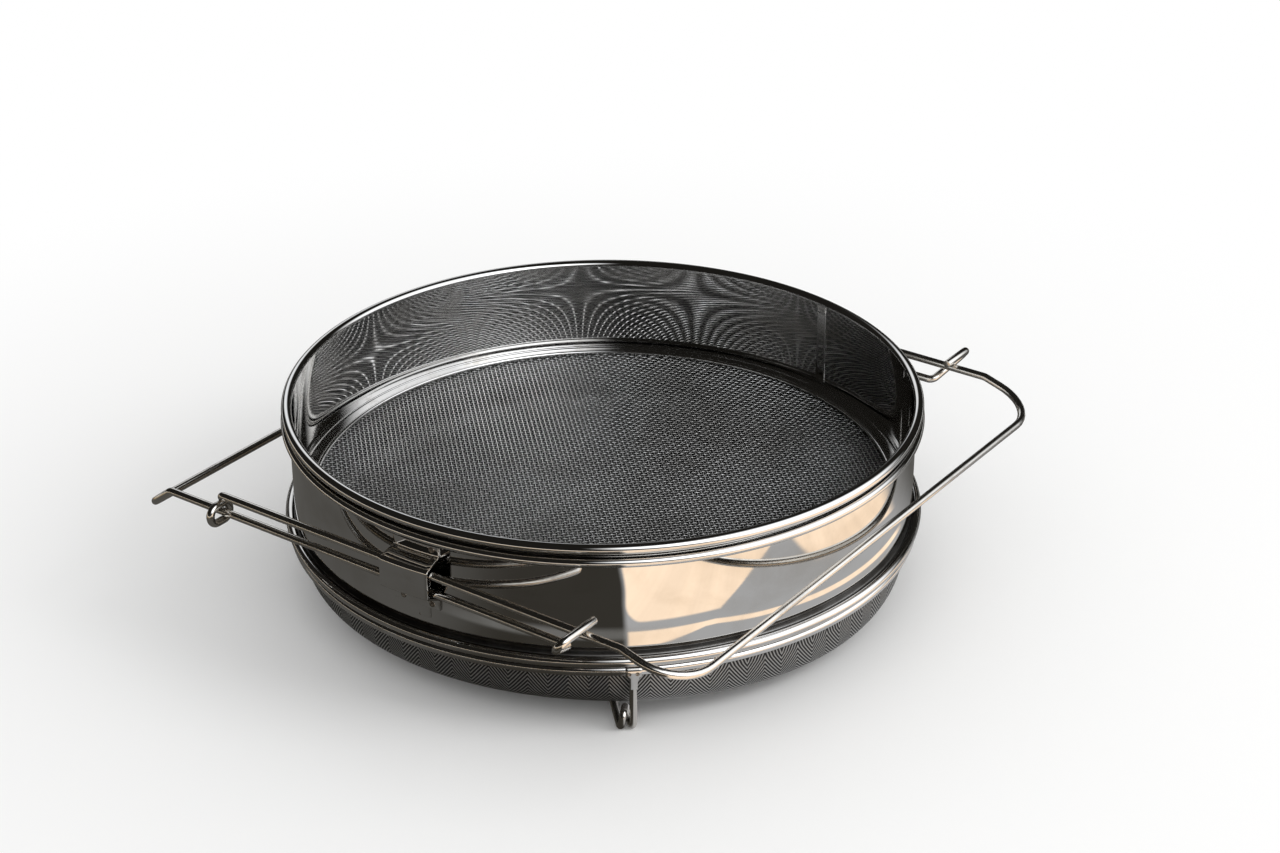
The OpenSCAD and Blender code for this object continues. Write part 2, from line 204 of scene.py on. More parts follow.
def plan():
    """Every measure that follows from the settings, in metres."""
    scene = bpy.context.scene
    w, c = scene.strainer_walls, scene.strainer_cloths
    a, f = scene.strainer_arms, scene.strainer_feet
    p = SimpleNamespace(w=w, c=c, a=a, f=f)
    p.outer_r = w.outer_d / 2
    p.outer_in = p.outer_r - w.sheet_t
    p.rim_r = p.outer_in + w.rim_d / 2
    p.hem_r = p.outer_r + w.hem_d / 2 - w.hem_in
    p.hoop_r = p.hem_r - c.hoop_in
    p.hoop_z = f.foot_h + c.hoop_d / 2
    p.hem_z = p.hoop_z + math.sqrt(((w.hem_d + c.hoop_d) / 2 + TOUCH) ** 2 - c.hoop_in ** 2)
    p.rim_z = p.hem_z + w.outer_h
    p.ledge_z = p.hem_z + w.ledge_h
    p.upper_out = p.outer_in - w.nest_gap
    p.upper_in = p.upper_out - w.sheet_t
    p.upper_rim_r = p.upper_in + w.upper_rim_d / 2
    p.upper_rim_z = p.rim_z + w.rim_d / 2 + w.rim_gap + w.upper_rim_d / 2
    p.upper_base = p.ledge_z + w.seat_gap
    p.coarse_z = p.upper_base + w.sheet_t + TOUCH
    p.clamp_z = p.coarse_z + c.coarse_t + TOUCH
    p.clamp_out = p.upper_in - TOUCH
    p.right_w = p.rim_r + w.rim_d / 2 + a.side_gap + a.arm_d / 2
    p.left_w = p.right_w - a.arm_step
    p.right_z = p.rim_z - a.arm_drop
    p.left_z = p.right_z - a.arm_pitch
    p.end_x = p.outer_r + a.end_gap + a.arm_d / 2
    p.hook_r = a.arm_d + a.hook_gap
    p.clip_half = a.clip_w / 2 / p.outer_r
    p.clip_face = (p.right_w + a.arm_d / 2 + a.clip_gap) / math.cos(a.clip_turn + p.clip_half)
    p.face_top = p.right_z + a.arm_d / 2 + a.clip_gap
    p.face_base = p.left_z - a.clip_low
    p.leg_r = p.hoop_r + c.hoop_d / 2 - f.foot_d / 2 - TOUCH
    p.floor_z = f.foot_d / 2 - f.foot_flat
    return p


# Modelling

def arc(centre, r, start, end, steps):
    """Points of an arc in a section, angles in degrees."""
    turns = [math.radians(start + (end - start) * i / steps) for i in range(steps + 1)]
    return [Vector((centre[0] + r * math.cos(t), centre[1] + r * math.sin(t))) for t in turns]


# Most of a side that the rounding of one corner may take up
CORNER_SHARE = 0.45


def rounded(points, r, steps=4):
    """A section's path with its inner corners rounded."""
    points = [Vector(p) for p in points]
    path = [points[0]]
    for before, corner, after in zip(points, points[1:], points[2:]):
        u, w = (corner - before).normalized(), (after - corner).normalized()
        turn = u.angle(w)
        shorter = min((corner - before).length, (after - corner).length)
        trim = min(r * math.tan(turn / 2), CORNER_SHARE * shorter)
        start, end = corner - u * trim, corner + w * trim
        for i in range(steps + 1):
            t = i / steps
            path.append((1 - t) ** 2 * start + 2 * t * (1 - t) * corner + t ** 2 * end)
    return path + [points[-1]]


HOLD = 0.3 * MM
# Least cosine at a bend, so that a sharp bend's mitre doesn't run out far
MITRE_LEAST = 0.5
MERGE = 1e-7


def held(path):
    """A path with points added near the ends of its straight runs, so that these shade flat."""
    kept = [path[0]]
    for a, b in zip(path, path[1:]):
        run = b - a
        if run.length > 5 * HOLD:
            kept += [a + run * (HOLD / run.length), b - run * (HOLD / run.length)]
        kept.append(b)
    return kept


def strip(path, t):
    """Closed section of a sheet of thickness t along a path."""
    path = held(path)
    left, right = [], []
    for i, p in enumerate(path):
        u = (p - path[i - 1]).normalized() if i else None
        w = (path[i + 1] - p).normalized() if i < len(path) - 1 else None
        along = ((u or w) + (w or u)).normalized()
        side = Vector((-along.y, along.x)) * t / 2 / max(along.dot(w or u), MITRE_LEAST)
        left.append(p + side)
        right.append(p - side)
    return left + right[::-1]


def close_ends(bm, sides=0):
    """Fills the open ends of a shape and turns its faces outwards."""
    bmesh.ops.holes_fill(bm, edges=[e for e in bm.edges if e.is_boundary], sides=sides)
    bmesh.ops.recalc_face_normals(bm, faces=bm.faces)


def spun(points, axis, turn, steps, closed=False):
    """A line of points, or a closed loop of them, spun about an axis through the origin."""
    bm = bmesh.new()
    verts = [bm.verts.new(p) for p in points]
    for a, b in zip(verts, verts[1:] + verts[:1] if closed else verts[1:]):
        bm.edges.new((a, b))
    bmesh.ops.spin(
        bm, geom=bm.verts[:] + bm.edges[:], cent=(0, 0, 0), axis=axis, angle=turn, steps=steps,
        use_merge=math.isclose(turn, FULL_TURN), use_duplicate=False,
    )
    bmesh.ops.remove_doubles(bm, verts=bm.verts, dist=MERGE)
    close_ends(bm)
    return bm


def revolve(section, start=0.0, turn=FULL_TURN, steps=ROUND_STEPS):
    """A closed section of (radius, height) points turned about the sieve's axis."""
    facing = Matrix.Rotation(start, 3, "Z")
    return spun([facing @ Vector((r, 0, z)) for r, z in section], (0, 0, 1), turn, steps, closed=True)


def soften(bm, offset, least_turn=40):
    """Breaks the sharp edges of a sheet piece."""
    limit = math.radians(least_turn)
    sharp = [e for e in bm.edges if len(e.link_faces) == 2 and e.calc_face_angle() > limit]
    bmesh.ops.bevel(
        bm, geom=sharp, offset=offset, segments=2, profile=0.5, affect="EDGES", material=-1,
        clamp_overlap=True,
    )


def verts_of(geom):
    return [g for g in geom if isinstance(g, bmesh.types.BMVert)]


def edges_of(geom):
    return [g for g in geom if isinstance(g, bmesh.types.BMEdge)]


def drawn_on(bm, ring, run):
    """Extrudes a ring of edges along a run, and returns the ring at its end."""
    grown = bmesh.ops.extrude_edge_only(bm, edges=ring)["geom"]
    tip = verts_of(grown)
    bmesh.ops.translate(bm, verts=tip, vec=run)
    return [e for e in edges_of(grown) if e.verts[0] in tip and e.verts[1] in tip]


def cut_at_floor(bm):
    """Cuts away what lies below the floor."""
    bmesh.ops.bisect_plane(
        bm, geom=bm.verts[:] + bm.edges[:] + bm.faces[:], plane_co=(0, 0, 0), plane_no=(0, 0, 1),
        clear_inner=True,
    )


def bent_wire(points, bends, d, sides=16, step=math.radians(10)):
    """A wire drawn straight and bent round at each inner point."""
    points = [Vector(p) for p in points]
    bm = bmesh.new()
    first = (points[1] - points[0]).normalized()
    facing = first.to_track_quat("Z", "Y").to_matrix().to_4x4()
    bmesh.ops.create_circle(
        bm, cap_ends=False, radius=d / 2, segments=sides, matrix=Matrix.Translation(points[0]) @ facing
    )
    ring, here = bm.edges[:], points[0]
    for i in range(1, len(points)):
        along = (points[i] - points[i - 1]).normalized()
        last = i == len(points) - 1
        onward = along if last else (points[i + 1] - points[i]).normalized()
        turn = 0 if last else along.angle(onward)
        trim = 0 if last else bends[i - 1] * math.tan(turn / 2)
        run = points[i] - along * trim - here
        if run.length > TOUCH:
            ring = drawn_on(bm, ring, run)
        here = points[i] + onward * trim
        if turn:
            axis = along.cross(onward).normalized()
            centre = points[i] - along * trim + axis.cross(along) * bends[i - 1]
            bent = bmesh.ops.spin(
                bm, geom=ring, cent=centre, axis=axis, angle=turn, steps=max(2, math.ceil(turn / step)),
                use_merge=False, use_duplicate=False,
            )
            ring = edges_of(bent["geom_last"])
    close_ends(bm)
    return bm


def new_object(bm, name, finish):
    """Turns a bmesh into an object of the scene."""
    mesh = bpy.data.meshes.new(name)
    bm.to_mesh(mesh)
    bm.free()
    mesh.materials.append(finish)
    obj = bpy.data.objects.new(name, mesh)
    bpy.context.scene.collection.objects.link(obj)
    return obj


def piece(bm, name, body, finish, stands_for=(), sharp=35):
    """Turns a bmesh into a piece that rides on a CAD body."""
    obj = new_object(bm, name, finish)
    obj.data.shade_smooth()
    if sharp:
        obj.data.set_sharp_from_angle(angle=math.radians(sharp))
    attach(obj, body)
    if stands_for:
        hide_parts(*stands_for)


def staged(bm, name, finish):
    """Turns a bmesh into an object of the scene, for use on the stage."""
    obj = new_object(bm, name, finish)
    return obj


# Materials

class Value:
    """A shader socket whose sums add Math nodes."""

    def __init__(self, finish, socket):
        self.finish, self.socket = finish, socket

    def maths(self, operation, *others):
        """A Math node fed by this socket, then by the others."""
        sockets = dict(enumerate([self, *others]))
        return self.finish.add("ShaderNodeMath", {"operation": operation}, sockets)[0]

    def swapped(self, operation, other):
        """A Math node fed by the other value, then by this socket."""
        return self.finish.add("ShaderNodeMath", {"operation": operation}, {0: other, 1: self})[0]

    __add__, __radd__ = partialmethod(maths, "ADD"), partialmethod(swapped, "ADD")
    __sub__, __rsub__ = partialmethod(maths, "SUBTRACT"), partialmethod(swapped, "SUBTRACT")
    __mul__, __rmul__ = partialmethod(maths, "MULTIPLY"), partialmethod(swapped, "MULTIPLY")
    __truediv__, __rtruediv__ = partialmethod(maths, "DIVIDE"), partialmethod(swapped, "DIVIDE")
    __pow__, __rpow__ = partialmethod(maths, "POWER"), partialmethod(swapped, "POWER")
    sine = partialmethod(maths, "SINE")
    size = partialmethod(maths, "ABSOLUTE")
    least = partialmethod(maths, "MINIMUM")
    most = partialmethod(maths, "MAXIMUM")
    fold = partialmethod(maths, "PINGPONG")
    bearing = partialmethod(maths, "ARCTAN2")

    def between(self, low, high):
        """0 below low, 1 above high, and a smooth step between them."""
        settings = {"interpolation_type": "SMOOTHSTEP"}
        sockets = {"Value": self, "From Min": low, "From Max": high}
        return self.finish.add("ShaderNodeMapRange", settings, sockets)[0]

    def past(self, edge, soft):
        """0 before an edge, 1 past it, softened on both sides of it."""
        return self.between(edge - soft, edge + soft)


class Finish:
    """The nodes of one material or of the world."""

    def __init__(self, owner):
        self.owner = owner
        self.tint = bpy.context.scene.strainer_colours
        owner.use_nodes = True
        self.tree = owner.node_tree
        self.tree.nodes.clear()

    def add(self, kind, settings=None, sockets=None):
        """Adds a node with its settings and what feeds it; gives its outputs by number and by name."""
        node = self.tree.nodes.new(kind)
        for key, value in (settings or {}).items():
            setattr(node, key, value)
        for key, value in (sockets or {}).items():
            self.feed(node.inputs[key], value)
        return {key: Value(self, out) for i, out in enumerate(node.outputs) for key in (i, out.name)}

    def feed(self, socket, value):
        if isinstance(value, Value):
            self.tree.links.new(value.socket, socket)
        elif socket.type == "RGBA" and len(value) == 3:
            socket.default_value = (*value, 1)
        else:
            socket.default_value = value

    def mix(self, share, a, b):
        """Colour a at share 0, colour b at share 1."""
        settings = {"data_type": "RGBA", "clamp_factor": True}
        return self.add("ShaderNodeMix", settings, {0: share, 6: a, 7: b})[2]

    def glow(self, tone):
        """A shader that gives off this colour, however it is lit."""
        return self.add("ShaderNodeEmission", None, {"Color": tone, "Strength": 1.0})[0]

    def blend(self, share, a, b):
        """Shader a at share 0, shader b at share 1."""
        return self.add("ShaderNodeMixShader", None, {0: share, 1: a, 2: b})[0]

    def place(self, source="Object"):
        """Coordinates on the piece, with their three parts."""
        at = self.add("ShaderNodeTexCoord")[source]
        parts = self.add("ShaderNodeSeparateXYZ", None, {0: at})
        return at, parts[0], parts[1], parts[2]

    def vector(self, x, y, z):
        return self.add("ShaderNodeCombineXYZ", None, {0: x, 1: y, 2: z})[0]

    def noise(self, at, scale, detail=3.0, roughness=0.5, distortion=0.0):
        sockets = {
            "Vector": at, "Scale": scale, "Detail": detail, "Roughness": roughness, "Distortion": distortion
        }
        return self.add("ShaderNodeTexNoise", None, sockets)[0]

    def bump(self, height, distance, strength=1.0, over=None):
        sockets = {"Height": height, "Distance": distance, "Strength": strength}
        if over is not None:
            sockets["Normal"] = over
        return self.add("ShaderNodeBump", None, sockets)[0]

    def metal(self, colour, roughness, normal, metallic=1.0):
        """Ends a material in a metal's shader."""
        sockets = {"Base Color": colour, "Metallic": metallic, "Roughness": roughness, "Normal": normal}
        return self.end(self.add("ShaderNodeBsdfPrincipled", None, sockets)[0])

    def end(self, shader):
        """Ends a material or a world in this shader."""
        kind = "World" if isinstance(self.owner, bpy.types.World) else "Material"
        self.add("ShaderNodeOutput" + kind, None, {"Surface": shader})
        return self.owner


MATERIALS = {}


def material(make):
    """A finish, made once and named after the function that makes it."""
    if make not in MATERIALS:
        MATERIALS[make] = make(Finish(bpy.data.materials.new(make.__name__)))
    return MATERIALS[make]


# Softness of the edges of the painted shade
SHADE_ZONE_EDGE = 0.25 * MM


def painted_shade_zones(p, away, z):
    """1 in the groove, in the hoop's inside and its nip, and under the upper rim, where shade is painted onto
    the sheet.
    """
    edge = SHADE_ZONE_EDGE
    groove = z.past(p.hem_z, edge) * (1 - z.past(p.ledge_z, edge))
    groove = groove * (1 - away.between(p.outer_r - edge, p.outer_r + 2 * edge))
    nip = (p.hem_z + p.hoop_z) / 2
    groove = groove.most(1 - (z - nip).size().between(edge, 2 * edge))
    inside = p.hoop_r - p.c.hoop_d / 4
    groove = groove.most((1 - away.between(inside - edge, inside)) * (1 - z.between(nip - edge, nip)))
    low, high = p.rim_z + p.w.rim_d / 2, p.upper_rim_z - p.w.upper_rim_d / 2 + 2 * edge
    under = z.between(low - 2 * edge, low) * (1 - z.past(high, edge))
    under = under * away.between(p.upper_out - edge, p.upper_out)
    under = under * (1 - away.between(p.upper_rim_r, p.upper_rim_r + edge))
    return groove.most(under)


def polished_sheet(f):
    """Mirror-polished sheet with faint lines round it, handling marks, a slight wave, and painted shade in
    the groove, the hoop's nip and under the upper rim.
    """
    at, x, y, z = f.place()
    lines = f.noise(f.vector(x * 4, y * 4, z * 700), 1.0, 2.0, 0.6)
    marks = f.noise(at, 38.0, 5.0, 0.62)
    smears = f.noise(f.vector(x, y, z * 3), 16.0, 3.0, 0.5, 1.2)
    wave = f.noise(f.vector(x, y, z * 0.6), 26.0, 1.0, 0.4)
    worn = (marks * 0.6 + smears * 0.6).between(0.5, 0.8)
    # Painted shade, darker and rougher, in the groove, the hoop's nip and under the upper rim, patchy with
    # the marks
    painted_shade = painted_shade_zones(plan(), (x * x + y * y) ** 0.5, z) * (0.75 + marks * 0.4)
    steel = f.mix(worn, f.tint.sheet, f.tint.sheet_worn)
    return f.metal(
        f.mix(painted_shade, steel, f.tint.crevice_shade_colour),
        roughness=0.012 + worn * 0.045 + lines * 0.012 + painted_shade * 0.4,
        normal=f.bump(wave, 0.6 * MM, 0.12, f.bump(lines, 0.002 * MM, 0.5)),
    )


def rolled_edge(f):
    """Rolled sheet edge: bright, with short lines round it and painted shade in the hoop's inside and its
    nip.
    """
    at, x, y, z = f.place()
    lines = f.noise(f.vector(x * 6, y * 6, z * 1500), 1.0, 2.0, 0.6)
    marks = f.noise(at, 120.0, 4.0, 0.6)
    worn = marks.between(0.5, 0.75)
    # Painted shade, darker and rougher, in the hoop's inside and its nip
    painted_shade = painted_shade_zones(plan(), (x * x + y * y) ** 0.5, z)
    steel = f.mix(worn, f.tint.sheet, f.tint.sheet_worn)
    return f.metal(
        f.mix(painted_shade, steel, f.tint.crevice_shade_colour),
        roughness=0.07 + worn * 0.08 + lines * 0.04 + painted_shade * 0.3,
        normal=f.bump(lines, 0.006 * MM, 0.6),
    )


def drawn_wire(f):
    """Drawn wire: warm grey, with fine drawing marks and dull patches."""
    at, *_ = f.place()
    patches = f.noise(at, 60.0, 4.0, 0.6)
    marks = f.noise(at, 900.0, 2.0, 0.5)
    dull = patches.between(0.48, 0.72)
    return f.metal(
        f.mix(dull, f.tint.wire, f.tint.wire_dull),
        roughness=0.13 + dull * 0.14 + marks * 0.06,
        normal=f.bump(marks, 0.01 * MM, 0.35),
    )


# Drop below the cloth's top, in wire diameters, at which a wire is still bright and at which it is dark with
# painted shade
CROWN_BRIGHT, CROWN_DARK = 0.25, 1.1


def cloth_wire(f):
    """Wires of the coarse cloth: bright on their crowns, tarnished in patches, and with painted shade where
    they dip.
    """
    p = plan()
    at, _, _, z = f.place()
    drop = (p.coarse_z + p.c.coarse_t - z) / p.c.coarse_wire
    # Painted shade where the wires dip below the cloth's top; the crowns stay light
    crown = 1 - drop.between(CROWN_BRIGHT, CROWN_DARK)
    patches = f.noise(at, 22.0, 4.0, 0.55)
    grain = f.noise(at, 1400.0, 1.0, 0.5)
    dull = (patches * 0.8 + grain * 0.3).between(0.45, 0.75)
    return f.metal(
        f.mix(crown, f.tint.dip_shade, f.mix(dull * 0.7, f.tint.cloth, f.tint.wire_dull)),
        roughness=0.35 + dull * 0.10,
        normal=f.bump(grain, 0.01 * MM, 0.3),
    )


# The fine cloth's ribs and wires, in millimetres, and how fast a rib runs down across its column
TWILL_PITCH, TWILL_WIRE = 1.65, 0.45
TWILL_SLOPE = 1.25


def twill_column(p):
    """Width of a twill column at the bowl's edge."""
    return bowl_edge(p) * math.pi / p.c.twill_pairs


def fine_twill(f):
    """Fine herringbone wire cloth: slanting ribs that turn round at each column."""
    at, u, v, _ = f.place("UV")
    u, v = u / MM, v / MM
    slant = u.fold(twill_column(plan()) / MM)
    rib = (v + slant * TWILL_SLOPE).fold(TWILL_PITCH / 2) / (TWILL_PITCH / 2)
    wires = (u * (FULL_TURN / TWILL_WIRE)).sine() * 0.5 + 0.5
    fleck = f.noise(at, 900.0, 2.0, 0.5)
    patches = f.noise(at, 30.0, 3.0, 0.5)
    light = rib.between(0.35, 0.95) * (0.55 + wires * 0.25 + fleck * 0.4) * (0.75 + patches * 0.5)
    return f.metal(
        f.mix(light, f.tint.cloth_dark, f.tint.twill),
        roughness=0.5 - light * 0.14,
        normal=f.bump(light, 0.12 * MM, 0.7),
        metallic=0.85,
    )


def weld_mark(f):
    """Spot weld with its dark heat mark."""
    at, *_ = f.place()
    grain = f.noise(at, 1500.0, 3.0, 0.6)
    return f.metal(
        f.mix(grain.between(0.4, 0.7), f.tint.weld, f.tint.wire_dull),
        roughness=0.3 + grain * 0.25,
        normal=f.bump(grain, 0.03 * MM, 0.6),
    )


# Sections of the sheet pieces

# Start and end of each rolled edge's arc, in degrees, and its steps
RIM_ROLL, HEM_ROLL = (180, -132, 26), (150, -178, 26)
CLAMP_ROLL, HOOP_ROLL = (-90, -350, 14), (166, -166, 30)
HEM_TUCK, HEM_RISE, NECK_RISE = 0.3 * MM, 1.6 * MM, 0.4 * MM
CLAMP_BEND, CLIP_BEND = 0.9 * MM, 1.1 * MM


def roll_path(r, z, d, t):
    """Path of a sheet edge rolled outwards, from where it leaves the wall to its hidden end."""
    return arc((r, z), (d - t) / 2, *RIM_ROLL)


def upper_section(p):
    """Upper wall: lip, wall and rolled rim."""
    t = p.w.sheet_t
    wall, base = p.upper_in + t / 2, p.upper_base + t / 2
    corner = rounded([(p.upper_in - p.w.lip_w, base), (wall, base), (wall, p.upper_rim_z)], p.w.bend_r)
    return strip(corner[:-1] + roll_path(p.upper_rim_r, p.upper_rim_z, p.w.upper_rim_d, t), t)


def outer_section(p):
    """Outer wall: base hem, groove, wall and rolled rim."""
    t = p.w.sheet_t
    wall, neck = p.outer_in + t / 2, p.outer_in - p.w.groove_in + t / 2
    hem_side = p.hem_r - p.w.hem_d / 2 + t / 2
    hem = arc((p.hem_r, p.hem_z), (p.w.hem_d - t) / 2, *HEM_ROLL)
    path = rounded([
        hem[0],
        (hem_side - HEM_TUCK, p.hem_z + HEM_RISE),
        (neck, p.hem_z + p.w.hem_d / 2 + NECK_RISE),
        (neck, p.ledge_z - t / 2),
        (wall, p.ledge_z - t / 2),
        (wall, p.rim_z),
    ], p.w.bend_r)
    return strip(hem[::-1] + path[1:-1] + roll_path(p.rim_r, p.rim_z, p.w.rim_d, t), t)


def clamp_section(p):
    """Clamp ring: a leg at the wall, a flange on the cloth and a rolled inner edge."""
    t, c = p.c.clamp_t, p.c
    leg, flange = p.clamp_out - t / 2, p.clamp_z + t / 2
    edge_r = (c.clamp_edge - t) / 2
    edge = arc((p.clamp_out - c.clamp_w, p.clamp_z + c.clamp_edge / 2), edge_r, *CLAMP_ROLL)
    path = rounded([(leg, p.clamp_z + c.clamp_h), (leg, flange), edge[0]], CLAMP_BEND)
    return strip(path[:-1] + edge, t)


def hoop_section(p):
    """Mesh hoop: a roll that is open towards the cloth."""
    t = p.w.sheet_t
    return strip(arc((p.hoop_r, p.hoop_z), (p.c.hoop_d - t) / 2, *HOOP_ROLL), t)


def clip_section(p):
    """Arm clip: two welded flanges with a channel for both wires between them."""
    a, t = p.a, p.a.clip_t
    back, face = p.outer_r + t / 2, p.clip_face + t / 2
    depth = p.clip_face - p.outer_r
    rise = t / 2 * math.hypot(depth, a.clip_rise) / depth
    fall = t / 2 * math.hypot(depth, a.clip_fall) / depth
    top = p.face_top + a.clip_rise + rise
    base = p.face_base - a.clip_fall - fall
    return strip(rounded([
        (back, top + a.flange_h + t / 2),
        (back, top),
        (face, p.face_top + rise),
        (face, p.face_base - fall),
        (back, base),
        (back, base - a.flange_h - t / 2),
    ], CLIP_BEND, steps=5), t)


SHOULDER = 0.7 * MM
SEAM_PROUD, SEAM_SUNK, SEAM_EDGE = 0.16 * MM, 0.1 * MM, 0.06 * MM
OVER_CLAMP, UNDER_RIM, OVER_LEDGE = 0.3 * MM, 0.4 * MM, 2.5 * MM


def strap_section(p):
    """Foot strap: a tongue on the leg that laps round the hoop."""
    f, t = p.f, p.f.strap_t
    r = p.c.hoop_d / 2 + TOUCH + t / 2
    lap = arc((p.hoop_r, p.hoop_z), r, 0, math.degrees(f.strap_lap), 8)
    face, hoop_low = p.hoop_r + r, p.hoop_z - p.c.hoop_d / 2
    tongue = [hoop_low - f.tongue_l, hoop_low - f.tongue_l / 2, hoop_low, hoop_low + SHOULDER]
    return strip([Vector((face, z)) for z in tongue] + lap, t)


def seam_strip(bearing, width, low, high, inner, outer):
    """Lap seam: a thin strip of sheet that stands a hair proud of a wall."""
    half = width / outer / 2
    section = [(inner, low), (outer, low), (outer, high), (inner, high)]
    bm = revolve(section, bearing - half, 2 * half, steps=4)
    soften(bm, SEAM_EDGE)
    return bm


def add_mesh(bm, other):
    """Joins another bmesh into this one."""
    mesh = bpy.data.meshes.new("joined")
    other.to_mesh(mesh)
    other.free()
    bm.from_mesh(mesh)
    bpy.data.meshes.remove(mesh)


# Operators

class BuildOperator(bpy.types.Operator):
    """Common part of the strainer's operators"""
    bl_options = {"REGISTER", "UNDO"}

    def execute(self, context):
        self.build(plan())
        return {"FINISHED"}


class STRAINER_OT_outer_wall(BuildOperator):
    """Roll the outer wall with its rim, groove and base hem"""
    bl_idname = "strainer.outer_wall"
    bl_label = "Outer wall"

    def build(self, p):
        wall = revolve(outer_section(p))
        add_mesh(wall, seam_strip(
            p.w.outer_seam, p.w.seam_w, p.ledge_z + OVER_LEDGE, p.rim_z - p.w.rim_d / 2 - UNDER_RIM,
            p.outer_r - SEAM_SUNK, p.outer_r + SEAM_PROUD,
        ))
        piece(wall, "outer_wall_sheet", OUTER, material(polished_sheet), ["outer_wall"])


class STRAINER_OT_upper_wall(BuildOperator):
    """Roll the upper wall with its rim, lip and lap seam"""
    bl_idname = "strainer.upper_wall"
    bl_label = "Upper wall"

    def build(self, p):
        wall = revolve(upper_section(p))
        add_mesh(wall, seam_strip(
            p.w.upper_seam, p.w.seam_w, p.clamp_z + p.c.clamp_h + OVER_CLAMP, p.upper_rim_z,
            p.upper_in - SEAM_PROUD, p.upper_in + SEAM_SUNK,
        ))
        piece(wall, "upper_wall_sheet", UPPER, material(polished_sheet), ["upper_wall"])


class STRAINER_OT_rings(BuildOperator):
    """Roll the clamp ring and the mesh hoop"""
    bl_idname = "strainer.rings"
    bl_label = "Clamp ring and mesh hoop"

    def build(self, p):
        rings = {"clamp_ring": (clamp_section, UPPER), "mesh_hoop": (hoop_section, OUTER)}
        for name, (section, body) in rings.items():
            piece(revolve(section(p)), name + "_sheet", body, material(rolled_edge), [name])


STRAND_SIDES = 4
CLOTH_INSET = 0.6 * MM


def weave(pitch, d, radius, over):
    """One set of a plain weave's wires along X: each goes over and under the wires across it."""
    bm = bmesh.new()
    count = math.ceil(radius / pitch)
    rise = over * d / 2
    facing = Matrix.Translation((-count * pitch, 0, rise)) @ Matrix.Rotation(math.pi / 2, 4, "Y")
    bmesh.ops.create_circle(bm, cap_ends=False, radius=d / 2, segments=STRAND_SIDES, matrix=facing)
    ring = bm.edges[:]
    for i in range(2 * count + 1):
        ring = drawn_on(bm, ring, (pitch, 0, rise * (2 if i % 2 else -2)))
    wire = bm.verts[:] + bm.edges[:] + bm.faces[:]
    for j in range(-count, count + 1):
        copy = bmesh.ops.duplicate(bm, geom=wire)["geom"]
        shift = (-pitch if j % 2 else 0, j * pitch, 0)
        bmesh.ops.translate(bm, verts=verts_of(copy), vec=shift)
    bmesh.ops.delete(bm, geom=verts_of(wire), context="VERTS")
    outside = [v for v in bm.verts if v.co.xy.length > radius]
    bmesh.ops.delete(bm, geom=outside, context="VERTS")
    close_ends(bm, STRAND_SIDES)
    return bm


class STRAINER_OT_coarse_cloth(BuildOperator):
    """Weave the flat coarse cloth, wire by wire"""
    bl_idname = "strainer.coarse_cloth"
    bl_label = "Coarse cloth"

    def build(self, p):
        c = p.c
        radius = p.upper_in - CLOTH_INSET
        middle = Matrix.Translation((0, 0, p.coarse_z + c.coarse_t / 2))
        for name, turn, over in (("coarse_warp", 0, 1), ("coarse_weft", math.pi / 2, -1)):
            bm = weave(c.coarse_pitch, c.coarse_wire, radius, over)
            place = middle @ Matrix.Rotation(c.coarse_turn + turn, 4, "Z")
            bmesh.ops.transform(bm, matrix=place, verts=bm.verts)
            piece(bm, name, UPPER, material(cloth_wire), ["coarse_mesh"], sharp=None)


BOWL_STEPS, BOWL_TURNS = 44, 192
# How the bowl's points crowd towards its rim, and the rings of its flat middle
BOWL_CROWD = 1.4
FLOOR_RINGS = (0.8, 0.6, 0.4, 0.2)
# Share of the bowl's radius that counts as its floor, and the limit that tells its inside from its outside
FLOOR_SHARE = 0.78
ON_BOWL = 0.985
BOWL_TUCK = 0.5 * MM


def bowl_edge(p):
    """Radius of the bowl just inside the hoop."""
    return p.hoop_r - p.c.hoop_d / 2 - p.w.seat_gap


def bowl_side(p, r, depth):
    """Side of the fine cloth's bowl, from below its rim to its middle."""
    power = 2 / p.c.bowl_power
    turns = [math.pi / 2 * (i / BOWL_STEPS) ** BOWL_CROWD for i in range(1, BOWL_STEPS)]
    side = [(r * math.cos(t) ** power, p.hoop_z - depth * math.sin(t) ** power) for t in turns]
    inner = [(side[-1][0] * k, p.hoop_z - depth) for k in FLOOR_RINGS]
    return [Vector(q) for q in [*side, *inner, (0, p.hoop_z - depth)]]


